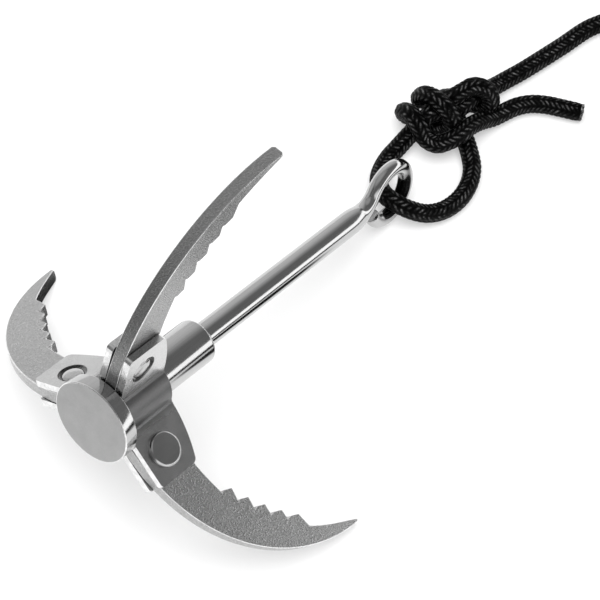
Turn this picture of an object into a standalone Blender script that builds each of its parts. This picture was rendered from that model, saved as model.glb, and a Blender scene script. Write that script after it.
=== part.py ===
"""Folding three-claw boat grapnel (dinghy anchor) with a knotted rope.

Metres, +Z up. The anchor lies as it would on a quay: on the tips of its two lower claws and
on its eye. The origin is on that surface, under the middle of the metal parts.

Every metal piece is drawn in the shank frame: +X runs along the shank from the end disc to
the eye, +Z is the direction of the upper claw, and x = 0 is the disc's outer face. A claw's
outline is given as (x, r), with r its distance from the shank's centre line.
"""
import bpy
import bmesh
from math import atan2, cos, hypot, pi, radians, sin, sqrt
from mathutils import Matrix, Vector

# ---- driving dimensions (metres) -----------------------------------------------------------
GAP = 0.0003                      # clearance between touching pieces

REST_PITCH = radians(17.6)        # the eye end lies lower than the disc
REST_POSITION = (-0.0938, 0.0, 0.0717)   # the disc's outer face, on the shank's centre line

ROD_RADIUS = 0.00525
SPIGOT_RADIUS = 0.0040            # the rod's reduced end, held in the disc
SPIGOT_LENGTH = 0.0035
EYE_WIRE_RADIUS = 0.0033
EYE_RADIUS = 0.0125               # middle of the eye's wire
EYE_CENTRE_X = 0.1858
EYE_TWIST = radians(-12.9)        # the eye's plane, turned about the shank from the upper claw
NECK_TURN = radians(60)           # how far the neck bends aside before the eye begins
NECK_START_X = 0.158              # where the rod starts to taper down to the eye's wire
EYE_SWEEP = radians(303)          # how far the wire goes round before its cut end

DISC_RADIUS = 0.0175
DISC_THICKNESS = 0.0061
DISC_CHAMFER = 0.0005

SLEEVE_RADIUS = 0.00935
SLEEVE_END_X = 0.0613
SLEEVE_ROUNDING = 0.0016

CLAW_THICKNESS = 0.0053
PIVOT_X = 0.0166
PIVOT_R = 0.0239
CLAW_ANGLES = {"upper": 0.0, "right": radians(120), "left": radians(240)}

SHEET = 0.0028                    # thickness of the bracket sheet
BRACKET_START_X = 0.0068
BRACKET_END_X = 0.0314
EAR_RADIUS = 0.0351               # how far the ears reach from the centre line
EAR_TAPER = 8.8                   # per metre: how quickly the ear narrows outwards
EAR_CORNER = 0.0016
BEND_RADIUS = 0.0035              # middle of the sheet, where an ear turns into the trough

RIVET_RADIUS = 0.0040
RIVET_HOLE_RADIUS = RIVET_RADIUS + GAP
RIVET_HEAD_RADIUS = 0.0069
RIVET_HEAD_HEIGHT = 0.0020
TAIL_RADIUS = 0.0048
TAIL_RECESS_RADIUS = 0.0056
TAIL_RECESS_DEPTH = 0.0016

ROPE_RADIUS = 0.0040
COIL_CENTRE = (0.3412, -0.0200)
COIL_MEAN_RADIUS = 0.0720
COIL_HALF_WIDTH = 0.0205          # five turns side by side
COIL_HEIGHT = 0.0325              # four turns on each other
TIE_THICKNESS = 0.0010
TIE_WIDTH = 0.0160

INNER_FACE = CLAW_THICKNESS / 2 + GAP     # an ear's face next to the claw
OUTER_FACE = INNER_FACE + SHEET


# ---- scene, materials, objects -------------------------------------------------------------
for old in list(bpy.data.objects):
    bpy.data.objects.remove(old, do_unlink=True)


def make_material(name, colour, roughness, metallic):
    mat = bpy.data.materials.new(name)
    mat.use_nodes = True
    shader = mat.node_tree.nodes["Principled BSDF"]
    shader.inputs["Base Color"].default_value = (*colour, 1.0)
    shader.inputs["Roughness"].default_value = roughness
    shader.inputs["Metallic"].default_value = metallic
    mat.diffuse_color = (*colour, 1.0)
    return mat


BRUSHED = make_material("brushed_stainless", (0.62, 0.62, 0.62), 0.30, 1.0)
SHEET_STEEL = make_material("rolled_stainless_sheet", (0.50, 0.50, 0.50), 0.35, 1.0)
BLASTED = make_material("blasted_stainless_plate", (0.40, 0.40, 0.39), 0.55, 1.0)
RIVET_STEEL = make_material("rivet_stainless", (0.52, 0.52, 0.52), 0.30, 1.0)
ROPE = make_material("black_braided_rope", (0.012, 0.012, 0.013), 0.75, 0.0)
STRAP = make_material("black_strap", (0.02, 0.02, 0.022), 0.80, 0.0)

shank_frame = bpy.data.objects.new("shank_frame", None)
shank_frame.location = REST_POSITION
shank_frame.rotation_euler = (0.0, REST_PITCH, 0.0)
bpy.context.collection.objects.link(shank_frame)


def add_object(name, data, mat, parent=None, angle=0.0, origin=(0.0, 0.0, 0.0)):
    """Links an object; angle turns it about its parent's X axis."""
    obj = bpy.data.objects.new(name, data)
    bpy.context.collection.objects.link(obj)
    obj.parent = parent
    obj.rotation_euler = (angle, 0.0, 0.0)
    obj.location = Matrix.Rotation(angle, 3, "X") @ Vector(origin)
    if mat is not None:
        data.materials.append(mat)
    return obj


def finish_mesh(name, bm, smooth_angle=radians(35)):
    """Turns the faces outwards and shades round stretches smooth."""
    bmesh.ops.recalc_face_normals(bm, faces=bm.faces)
    mesh = bpy.data.meshes.new(name)
    bm.to_mesh(mesh)
    bm.free()
    mesh.shade_smooth()
    mesh.set_sharp_from_angle(angle=smooth_angle)
    return mesh


def as_cutter(obj):
    obj.hide_render = True
    obj.display_type = "WIRE"
    return obj


def cut(obj, cutter):
    boolean = obj.modifiers.new("cut_" + cutter.name, "BOOLEAN")
    boolean.operation = "DIFFERENCE"
    boolean.solver = "EXACT"
    boolean.object = cutter


# ---- shape helpers ---------------------------------------------------------------------------
def arc(centre, radius, start, end, steps):
    """Points of a plane arc, both ends included."""
    turn = (end - start) / steps
    return [
        (centre[0] + radius * cos(start + turn * i), centre[1] + radius * sin(start + turn * i))
        for i in range(steps + 1)
    ]


def bezier(p0, p1, p2, p3, steps):
    """Points of a plane cubic Bezier curve, both ends included."""
    points = []
    for i in range(steps + 1):
        t = i / steps
        a, b, c, d = (1 - t) ** 3, 3 * t * (1 - t) ** 2, 3 * t * t * (1 - t), t ** 3
        points.append(tuple(a * p0[k] + b * p1[k] + c * p2[k] + d * p3[k] for k in (0, 1)))
    return points


def turned(name, profile, axis, segments, closed):
    """Spins a profile of (along, radius) points about an axis through the origin.

    An open profile starts and ends on the axis. A closed one stays clear of it.
    """
    axis = Vector(axis)
    side = Vector((0.0, 0.0, 1.0))
    bm = bmesh.new()
    verts = [bm.verts.new(axis * along + side * radius) for along, radius in profile]
    edges = [bm.edges.new(pair) for pair in zip(verts, verts[1:])]
    if closed:
        edges.append(bm.edges.new((verts[-1], verts[0])))
    bmesh.ops.spin(
        bm, geom=verts + edges, cent=(0, 0, 0), axis=axis, angle=2 * pi,
        steps=segments, use_merge=True,
    )
    bmesh.ops.remove_doubles(bm, verts=bm.verts, dist=1e-6)
    return finish_mesh(name, bm)


def plate(name, outline, thickness):
    """A flat plate with an (x, z) outline, as thick as given about y = 0."""
    bm = bmesh.new()
    verts = [bm.verts.new((x, -thickness / 2, z)) for x, z in outline]
    face = bm.faces.new(verts)
    pushed = bmesh.ops.extrude_face_region(bm, geom=[face])
    moved = [v for v in pushed["geom"] if isinstance(v, bmesh.types.BMVert)]
    bmesh.ops.translate(bm, verts=moved, vec=(0.0, thickness, 0.0))
    return finish_mesh(name, bm)


def swept(name, path, radii, sides):
    """A round bar of changing radius along a path, with flat ends."""
    tangents = []
    for i in range(len(path)):
        ahead = path[min(i + 1, len(path) - 1)]
        behind = path[max(i - 1, 0)]
        tangents.append((ahead - behind).normalized())
    across = Vector((0.0, 1.0, 0.0))
    bm = bmesh.new()
    rings = []
    for point, tangent, radius in zip(path, tangents, radii):
        across = (across - tangent * across.dot(tangent)).normalized()
        other = tangent.cross(across)
        rings.append([
            bm.verts.new(point + (across * cos(a) + other * sin(a)) * radius)
            for a in (2 * pi * k / sides for k in range(sides))
        ])
    for low, high in zip(rings, rings[1:]):
        for k in range(sides):
            bm.faces.new((low[k], low[(k + 1) % sides], high[(k + 1) % sides], high[k]))
    bm.faces.new(rings[0])
    bm.faces.new(rings[-1])
    return finish_mesh(name, bm)


def smooth_route(points, spacing):
    """Points about `spacing` apart on a Catmull-Rom curve through the route's points."""
    pts = [Vector(p) for p in points]
    pts = [2 * pts[0] - pts[1]] + pts + [2 * pts[-1] - pts[-2]]
    route = []
    for a, b, c, d in zip(pts, pts[1:], pts[2:], pts[3:]):
        steps = max(1, round((c - b).length / spacing))
        for i in range(steps):
            t = i / steps
            route.append(0.5 * (2 * b + (c - a) * t + (2 * a - 5 * b + 4 * c - d) * t ** 2
                                + (3 * b - a - 3 * c + d) * t ** 3))
    route.append(pts[-2])
    return route


def rope_tube(name, points, spacing):
    """A stretch of rope as a round tube with closed ends."""
    curve = bpy.data.curves.new(name, "CURVE")
    curve.dimensions = "3D"
    curve.bevel_depth = ROPE_RADIUS
    curve.bevel_resolution = 2
    curve.use_fill_caps = True
    route = smooth_route(points, spacing)
    spline = curve.splines.new("POLY")
    spline.points.add(len(route) - 1)
    for spot, place in zip(spline.points, route):
        spot.co = (*place, 1.0)
    spline.use_smooth = True
    return add_object(name, curve, ROPE)


# ---- shank: rod with its forged eye, and the end disc -----------------------------------------
def eye_path():
    """Centre line of the rod and eye in the eye's plane, with the radius at each point."""
    start = [(DISC_THICKNESS - SPIGOT_LENGTH + GAP, 0.0), (DISC_THICKNESS + GAP - 1e-5, 0.0)]
    sizes = [SPIGOT_RADIUS, SPIGOT_RADIUS]
    meet = pi / 2 + NECK_TURN
    meet_x = EYE_CENTRE_X + EYE_RADIUS * cos(meet)
    meet_z = EYE_RADIUS * sin(meet)
    bend = meet_z / (1 - cos(NECK_TURN))
    bend_x = meet_x - bend * sin(NECK_TURN)
    straight = [(DISC_THICKNESS + GAP, 0.0), (NECK_START_X, 0.0)]
    neck = arc((bend_x, bend), bend, -pi / 2, -pi / 2 + NECK_TURN, 6)
    loop = arc((EYE_CENTRE_X, 0.0), EYE_RADIUS, meet, meet - EYE_SWEEP, 30)[1:]
    path = start + straight + neck + loop
    sizes += [ROD_RADIUS, ROD_RADIUS]
    for x, _ in neck:
        share = min(1.0, (x - NECK_START_X) / (meet_x - NECK_START_X))
        ease = share * share * (3 - 2 * share)
        sizes.append(ROD_RADIUS + (EYE_WIRE_RADIUS - ROD_RADIUS) * ease)
    sizes += [EYE_WIRE_RADIUS] * len(loop)
    return [Vector((x, 0.0, z)) for x, z in path], sizes


rod_path, rod_sizes = eye_path()
add_object("shank_rod", swept("shank_rod", rod_path, rod_sizes, 20), BRUSHED, shank_frame, EYE_TWIST)

disc_profile = [
    (0.0, 0.0),
    (0.0, DISC_RADIUS - DISC_CHAMFER),
    (DISC_CHAMFER, DISC_RADIUS),
    (DISC_THICKNESS - DISC_CHAMFER, DISC_RADIUS),
    (DISC_THICKNESS, DISC_RADIUS - DISC_CHAMFER),
    (DISC_THICKNESS, SPIGOT_RADIUS + GAP),
    (DISC_THICKNESS - SPIGOT_LENGTH, SPIGOT_RADIUS + GAP),
    (DISC_THICKNESS - SPIGOT_LENGTH, 0.0),
]
add_object(
    "end_disc", turned("end_disc", disc_profile, (1, 0, 0), 48, False), BRUSHED, shank_frame
)

# ---- hub: sleeve and the three formed brackets ------------------------------------------------
sleeve_start = DISC_THICKNESS + GAP
sleeve_bore = ROD_RADIUS + GAP
sleeve_profile = [
    (sleeve_start, sleeve_bore),
    (sleeve_start, SLEEVE_RADIUS - DISC_CHAMFER),
    (sleeve_start + DISC_CHAMFER, SLEEVE_RADIUS),
]
sleeve_profile += arc(
    (SLEEVE_END_X - SLEEVE_ROUNDING, SLEEVE_RADIUS - SLEEVE_ROUNDING),
    SLEEVE_ROUNDING, pi / 2, 0.0, 3,
)
sleeve_profile.append((SLEEVE_END_X, sleeve_bore))
add_object(
    "hub_sleeve", turned("hub_sleeve", sleeve_profile, (1, 0, 0), 32, True), BRUSHED, shank_frame
)


def ear_span(r):
    """Lowest and highest x of a bracket at the distance r from the centre line."""
    end = BRACKET_END_X - EAR_TAPER * max(0.0, r - 0.0100) ** 2
    into_corner = r - (EAR_RADIUS - EAR_CORNER)
    inset = 0.0
    if into_corner > 0:
        inset = EAR_CORNER - sqrt(max(0.0, EAR_CORNER ** 2 - into_corner ** 2))
    return BRACKET_START_X + inset, end - inset


def bracket_stations():
    """Middle of the bent sheet, from one ear's edge to the trough's middle.

    Each station is (side, r, normal angle): side is the distance from the first claw's
    middle plane, r the distance out along that claw, and the normal points away from the claw.
    """
    ear_side = INNER_FACE + SHEET / 2
    web_radius = SLEEVE_RADIUS + GAP + SHEET / 2
    bend_side = ear_side + BEND_RADIUS
    bend_r = sqrt((web_radius + BEND_RADIUS) ** 2 - bend_side ** 2)
    web_angle = atan2(bend_side, bend_r)
    stations = [
        (ear_side, EAR_RADIUS - EAR_CORNER * share, 0.0) for share in (0.0, 0.1, 0.35, 1.0)
    ]
    stations += [(ear_side, r, 0.0) for r in (0.0270, 0.0200)]
    bend_end = pi / 2 - web_angle
    for i in range(5):
        turn = bend_end * i / 4
        stations.append((bend_side - BEND_RADIUS * cos(turn), bend_r - BEND_RADIUS * sin(turn), turn))
    half = radians(60)
    for i in range(1, 4):
        around = web_angle + (half - web_angle) * i / 3
        stations.append((web_radius * sin(around), web_radius * cos(around), pi / 2 - around))
    return stations


def bracket_mesh(name):
    """The formed sheet between two neighbouring claws, drawn for a first claw at angle 0."""
    half = radians(60)
    first = bracket_stations()
    bm = bmesh.new()
    rings = []

    def add_ring(side, r, normal, mirrored):
        low, high = ear_span(r if normal == 0.0 else 0.0100)
        ring = []
        for x, offset in ((low, -1), (high, -1), (high, 1), (low, 1)):
            across = side + offset * SHEET / 2 * cos(normal)
            out = r + offset * SHEET / 2 * sin(normal)
            angle = atan2(across, out)
            if mirrored:
                angle = 2 * half - angle
            reach = hypot(across, out)
            ring.append(bm.verts.new((x, -reach * sin(angle), reach * cos(angle))))
        rings.append(ring)

    for side, r, normal in first:
        add_ring(side, r, normal, False)
    for side, r, normal in reversed(first[:-1]):
        add_ring(side, r, normal, True)
    for low, high in zip(rings, rings[1:]):
        for k in range(4):
            bm.faces.new((low[k], low[(k + 1) % 4], high[(k + 1) % 4], high[k]))
    bm.faces.new(rings[0])
    bm.faces.new(rings[-1])
    return finish_mesh(name, bm)


def hole_cutter(name, angle, recessed):
    """A cutter on a claw's pivot: the ear after the claw has a recess for the rivet's tail."""
    far = 0.012
    profile = [(INNER_FACE - 0.001, 0.0), (INNER_FACE - 0.001, RIVET_HOLE_RADIUS)]
    if recessed:
        floor = OUTER_FACE - TAIL_RECESS_DEPTH
        profile += [(floor, RIVET_HOLE_RADIUS), (floor, TAIL_RECESS_RADIUS), (far, TAIL_RECESS_RADIUS)]
    else:
        profile.append((far, RIVET_HOLE_RADIUS))
    profile.append((far, 0.0))
    side = -1.0 if recessed else 1.0
    mesh = turned(name, profile, (0, side, 0), 24, False)
    return as_cutter(add_object(name, mesh, None, shank_frame, angle, (PIVOT_X, 0.0, PIVOT_R)))


BRACKETS = {
    "bracket_right_top": ("upper", "right"),
    "bracket_bottom": ("right", "left"),
    "bracket_left_top": ("left", "upper"),
}
for bracket_name, (first_claw, second_claw) in BRACKETS.items():
    bracket = add_object(
        bracket_name, bracket_mesh(bracket_name), SHEET_STEEL, shank_frame, CLAW_ANGLES[first_claw]
    )
    cut(bracket, hole_cutter(bracket_name + "_recess", CLAW_ANGLES[first_claw], True))
    cut(bracket, hole_cutter(bracket_name + "_hole", CLAW_ANGLES[second_claw], False))


# ---- claws and their rivets ---------------------------------------------------------------------
TOOTH_COUNT = 5
FIRST_TOOTH = (0.0348, 0.0525)    # point of the tooth nearest the hub
TOOTH_PITCH = 0.00795
TOOTH_ROW_START = radians(59.0)   # direction of the row of teeth at the first tooth
TOOTH_ROW_TURN = radians(4.6)     # the row turns by this from tooth to tooth
TOOTH_TOP = 0.0039                # length of a tooth's blunt top
TOOTH_TOP_ANGLE = radians(21)
TOOTH_FLANK = 0.00595             # length of the first tooth's long flank
TOOTH_FLANK_LOSS = 0.00048        # each next flank is this much shorter
TOOTH_FLANK_ANGLE = radians(98.5)
TOOTH_FLANK_TURN = radians(3.3)
THROAT = (0.0555, 0.0840)         # end of the last tooth's flank, where the point begins
CLAW_POINT = (0.0774, 0.0952)
BASE_RADIUS = 0.0115              # round base of the claw, about its pivot


def claw_teeth():
    """The toothed edge from the hub outwards."""
    points = []
    x, r = FIRST_TOOTH
    for i in range(TOOTH_COUNT):
        if i > 0:
            row = TOOTH_ROW_START - TOOTH_ROW_TURN * (i - 1)
            x += TOOTH_PITCH * cos(row)
            r += TOOTH_PITCH * sin(row)
        points.append((x - TOOTH_TOP * cos(TOOTH_TOP_ANGLE), r - TOOTH_TOP * sin(TOOTH_TOP_ANGLE)))
        points.append((x, r))
        if i < TOOTH_COUNT - 1:
            length = TOOTH_FLANK - TOOTH_FLANK_LOSS * i
            angle = TOOTH_FLANK_ANGLE - TOOTH_FLANK_TURN * i
            points.append((x + length * cos(angle), r + length * sin(angle)))
    return points


def claw_outline():
    """Outline of a claw as (x, r), for an open claw."""
    heel_x = DISC_THICKNESS + GAP
    outer = bezier((0.0070, 0.0280), (0.0107, 0.0644), (0.0394, 0.0953), (0.0770, 0.0960), 16)
    base = arc((PIVOT_X, PIVOT_R), BASE_RADIUS, radians(25), radians(-90), 9)
    inner = bezier((0.0299, 0.0517), (0.0281, 0.0440), (0.0268, 0.0390), (0.0267, 0.0330), 5)
    point = bezier(CLAW_POINT, (0.0708, 0.0920), (0.0634, 0.0894), THROAT, 5)
    heel = [(heel_x + 0.0022, 0.0126), (heel_x, 0.0142)]
    return outer + point + list(reversed(claw_teeth())) + inner + base + heel


def rivet_profile():
    """Rivet as (along, radius): flat head before the claw, domed tail in its recess after it."""
    head_face = -OUTER_FACE - GAP
    head_top = head_face - RIVET_HEAD_HEIGHT
    tail_floor = OUTER_FACE - TAIL_RECESS_DEPTH + GAP
    dome_top = OUTER_FACE + 0.0006
    return [
        (head_top, 0.0),
        (head_top, RIVET_HEAD_RADIUS - 0.0009),
        (head_top + 0.0006, RIVET_HEAD_RADIUS),
        (head_face, RIVET_HEAD_RADIUS),
        (head_face, RIVET_RADIUS),
        (tail_floor, RIVET_RADIUS),
        (tail_floor, TAIL_RADIUS),
        (OUTER_FACE - 0.0003, TAIL_RADIUS),
        (dome_top - 0.0002, TAIL_RADIUS * 0.6),
        (dome_top, 0.0),
    ]


pivot = (PIVOT_X, 0.0, PIVOT_R)
outline_about_pivot = [(x - PIVOT_X, r - PIVOT_R) for x, r in claw_outline()]
pin_hole = [(-0.01, 0.0), (-0.01, RIVET_HOLE_RADIUS), (0.01, RIVET_HOLE_RADIUS), (0.01, 0.0)]
for side_name, claw_angle in CLAW_ANGLES.items():
    claw = add_object(
        "claw_" + side_name, plate("claw_" + side_name, outline_about_pivot, CLAW_THICKNESS),
        BLASTED, shank_frame, claw_angle, pivot,
    )
    hole = as_cutter(add_object(
        "claw_hole_" + side_name, turned("claw_hole_" + side_name, pin_hole, (0, -1, 0), 24, False),
        None, shank_frame, claw_angle, pivot,
    ))
    cut(claw, hole)
    add_object(
        "rivet_" + side_name,
        turned("rivet_" + side_name, rivet_profile(), (0, -1, 0), 24, False),
        RIVET_STEEL, shank_frame, claw_angle, pivot,
    )


# ---- rope: loop through the eye, knot, tail, line and coil ------------------------------------
LIFT = ROPE_RADIUS + 0.0002       # a rope's centre line above the surface it lies on
LOOP_ROUTE = [
    (0.1140, 0.0146, LIFT), (0.1100, 0.0147, LIFT), (0.1040, 0.0146, LIFT),
    (0.0952, 0.0122, 0.0052), (0.0884, 0.0076, 0.0084), (0.0838, 0.0006, 0.0112),
    (0.0838, -0.0066, 0.0108), (0.0878, -0.0130, 0.0078), (0.0940, -0.0176, 0.0050),
    (0.1020, -0.0200, LIFT), (0.1110, -0.0192, LIFT), (0.1190, -0.0152, LIFT),
    (0.1244, -0.0106, LIFT),
]
TAIL_ROUTE = [
    (0.1538, -0.0064, LIFT), (0.1570, -0.0080, LIFT), (0.1608, -0.0100, LIFT),
    (0.1664, -0.0138, LIFT), (0.1706, -0.0190, LIFT), (0.1738, -0.0249, LIFT),
    (0.1768, -0.0309, LIFT), (0.1784, -0.0340, LIFT),
]
LINE_ROUTE = [
    (0.1626, 0.0039, LIFT), (0.1690, 0.0021, LIFT), (0.1776, -0.0003, LIFT),
    (0.1877, -0.0026, LIFT), (0.2004, -0.0053, LIFT), (0.2180, -0.0090, LIFT),
    (0.2320, -0.0170, LIFT), (0.2420, -0.0310, LIFT), (0.2480, -0.0500, LIFT),
    (0.2600, -0.0760, LIFT),
]
KNOT_LUMPS = [                    # (centre, half sizes)
    ((0.1268, 0.0200, 0.0110), (0.0100, 0.0062, 0.0108)),
    ((0.1276, 0.0076, 0.0112), (0.0110, 0.0098, 0.0110)),
    ((0.1436, 0.0060, 0.0112), (0.0130, 0.0110, 0.0110)),
    ((0.1540, 0.0064, 0.0100), (0.0062, 0.0076, 0.0098)),
]

rope_tube("rope_loop", LOOP_ROUTE, 0.005)
rope_tube("rope_tail", TAIL_ROUTE, 0.008)
rope_tube("rope_line", LINE_ROUTE, 0.012)


def lump_mesh(name, centre, radii):
    bm = bmesh.new()
    place = Matrix.Translation(centre) @ Matrix.Diagonal((*radii, 1.0))
    bmesh.ops.create_uvsphere(bm, u_segments=16, v_segments=9, radius=1.0, matrix=place)
    return finish_mesh(name, bm)


knot = add_object("rope_knot", lump_mesh("rope_knot", *KNOT_LUMPS[0]), ROPE)
for number, (lump_centre, lump_radii) in enumerate(KNOT_LUMPS[1:], start=2):
    lump_name = f"knot_lump_{number}"
    lump = as_cutter(add_object(lump_name, lump_mesh(lump_name, lump_centre, lump_radii), None))
    union = knot.modifiers.new(lump_name, "BOOLEAN")
    union.operation = "UNION"
    union.solver = "EXACT"
    union.object = lump

coil_bottom = TIE_THICKNESS + GAP
coil_inner = COIL_MEAN_RADIUS - COIL_HALF_WIDTH
coil_outer = COIL_MEAN_RADIUS + COIL_HALF_WIDTH
coil_top = coil_bottom + COIL_HEIGHT
coil_corner = ROPE_RADIUS
coil_profile = (
    arc((coil_top - coil_corner, coil_inner + coil_corner), coil_corner, -pi / 2, 0, 3)
    + arc((coil_top - coil_corner, coil_outer - coil_corner), coil_corner, 0, pi / 2, 3)
    + arc((coil_bottom + coil_corner, coil_outer - coil_corner), coil_corner, pi / 2, pi, 3)
    + arc((coil_bottom + coil_corner, coil_inner + coil_corner), coil_corner, pi, 3 * pi / 2, 3)
)


def turned_upright(name, profile, segments):
    """A ring turned about the vertical axis from (height, radius) points."""
    bm = bmesh.new()
    verts = [bm.verts.new((radius, 0.0, height)) for height, radius in profile]
    edges = [bm.edges.new(pair) for pair in zip(verts, verts[1:] + verts[:1])]
    bmesh.ops.spin(
        bm, geom=verts + edges, cent=(0, 0, 0), axis=(0, 0, 1), angle=2 * pi,
        steps=segments, use_merge=True,
    )
    return finish_mesh(name, bm)


coil = add_object("rope_coil", turned_upright("rope_coil", coil_profile, 40), ROPE)
coil.location = (*COIL_CENTRE, 0.0)


def tie_mesh(name):
    """A flat strap round the coil's bundle of turns."""
    inner_low = sqrt(coil_inner ** 2 - (TIE_WIDTH / 2) ** 2) - 2 * GAP
    inner_high = coil_outer + GAP
    bottom, top = TIE_THICKNESS, coil_top + GAP
    corner = ROPE_RADIUS + GAP
    bm = bmesh.new()

    def frame(grow):
        size = corner + grow
        corners = (
            ((inner_high - corner, top - corner), 0), ((inner_low + corner, top - corner), 1),
            ((inner_low + corner, bottom + corner), 2), ((inner_high - corner, bottom + corner), 3),
        )
        points = []
        for centre, quarter in corners:
            points += arc(centre, size, quarter * pi / 2, (quarter + 1) * pi / 2, 3)
        return points

    inside, outside = frame(0.0), frame(TIE_THICKNESS)
    rings = []
    for outline, y in ((inside, -1), (outside, -1), (outside, 1), (inside, 1)):
        rings.append([bm.verts.new((px, y * TIE_WIDTH / 2, pz)) for px, pz in outline])
    count = len(inside)
    for low, high in zip(rings, rings[1:] + rings[:1]):
        for k in range(count):
            bm.faces.new((low[k], low[(k + 1) % count], high[(k + 1) % count], high[k]))
    return finish_mesh(name, bm)


tie = add_object("coil_tie", tie_mesh("coil_tie"), STRAP)
tie.location = (*COIL_CENTRE, 0.0)
tie.rotation_euler = (0.0, 0.0, radians(35))
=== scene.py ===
"""The looks of a folding three-claw boat grapnel with its knotted rope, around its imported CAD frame."""
from math import atan2, cos, hypot, pi, radians, sin, sqrt

import bmesh
import bpy
import numpy as np
from mathutils import Matrix, Vector


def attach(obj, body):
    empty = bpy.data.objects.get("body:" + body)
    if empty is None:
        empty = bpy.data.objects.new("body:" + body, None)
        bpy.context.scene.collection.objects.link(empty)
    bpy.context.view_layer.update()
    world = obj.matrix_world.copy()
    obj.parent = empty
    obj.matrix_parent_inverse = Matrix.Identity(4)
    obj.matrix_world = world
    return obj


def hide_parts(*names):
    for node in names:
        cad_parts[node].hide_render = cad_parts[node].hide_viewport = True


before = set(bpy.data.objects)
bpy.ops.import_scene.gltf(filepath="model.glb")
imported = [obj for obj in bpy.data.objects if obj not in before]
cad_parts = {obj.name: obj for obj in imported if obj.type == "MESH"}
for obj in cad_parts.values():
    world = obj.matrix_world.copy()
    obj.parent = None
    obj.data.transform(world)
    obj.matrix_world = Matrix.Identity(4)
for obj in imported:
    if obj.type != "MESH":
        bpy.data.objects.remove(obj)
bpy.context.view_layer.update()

scene = bpy.context.scene
GAP = 0.0003  # left between pieces that touch
REST_PITCH = radians(17.6)
REST_POSITION = (-0.0938, 0.0, 0.0717)
SHANK_FRAME = Matrix.Translation(REST_POSITION) @ Matrix.Rotation(REST_PITCH, 4, "Y")
WHITE = (1.0, 1.0, 1.0, 1.0)


# ---- shared helpers ----
def add_object(name, data):
    made = bpy.data.objects.new(name, data)
    scene.collection.objects.link(made)
    return made


def add_node(tree, kind, values=None, **settings):
    """A new shader node with these settings, and these values on its inputs."""
    made = tree.nodes.new("ShaderNode" + kind)
    for key, value in settings.items():
        setattr(made, key, value)
    for name, value in (values or {}).items():
        made.inputs[name].default_value = value
    return made


def mesh_from(name, bm, mats):
    """Turns a bmesh into a smooth-shaded mesh with these materials."""
    bmesh.ops.recalc_face_normals(bm, faces=bm.faces)
    mesh = bpy.data.meshes.new(name)
    bm.to_mesh(mesh)
    bm.free()
    for mat in mats:
        mesh.materials.append(mat)
    mesh.shade_smooth()
    return mesh


def skin(bm, rings, closed=False):
    """Faces between neighbouring rings of vertices, and those at the two ends unless it is closed."""
    following = rings[1:] + rings[:1] if closed else rings[1:]
    sides = []
    for low, high in zip(rings, following):
        size = len(low)
        for k in range(size):
            corners = (low[k], low[(k + 1) % size], high[(k + 1) % size], high[k])
            sides.append(bm.faces.new(corners))
    ends = [] if closed else [bm.faces.new(rings[0]), bm.faces.new(rings[-1])]
    return sides, ends


def ease(share):
    """0 to 1 with a smooth start and stop."""
    share = min(1.0, max(0.0, share))
    return share * share * (3 - 2 * share)


# ---- camera ----
CAMERA_PLACE = Vector((-0.29391, -0.24474, 0.76602))
CAMERA_RIGHT = Vector((0.65579, -0.75418, 0.03402))
CAMERA_UP = Vector((0.65806, 0.59313, 0.46384))
SENSOR = 36.0
LENS = 123.59


def make_camera():
    data = bpy.data.cameras.new("camera")
    data.sensor_width = SENSOR
    data.lens = LENS
    data.clip_start = 0.01
    camera = add_object("camera", data)
    back = CAMERA_RIGHT.cross(CAMERA_UP).normalized()
    turn = Matrix((CAMERA_RIGHT, CAMERA_UP, back)).transposed()
    camera.matrix_world = Matrix.Translation(CAMERA_PLACE) @ turn.to_4x4()
    scene.camera = camera


make_camera()


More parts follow.
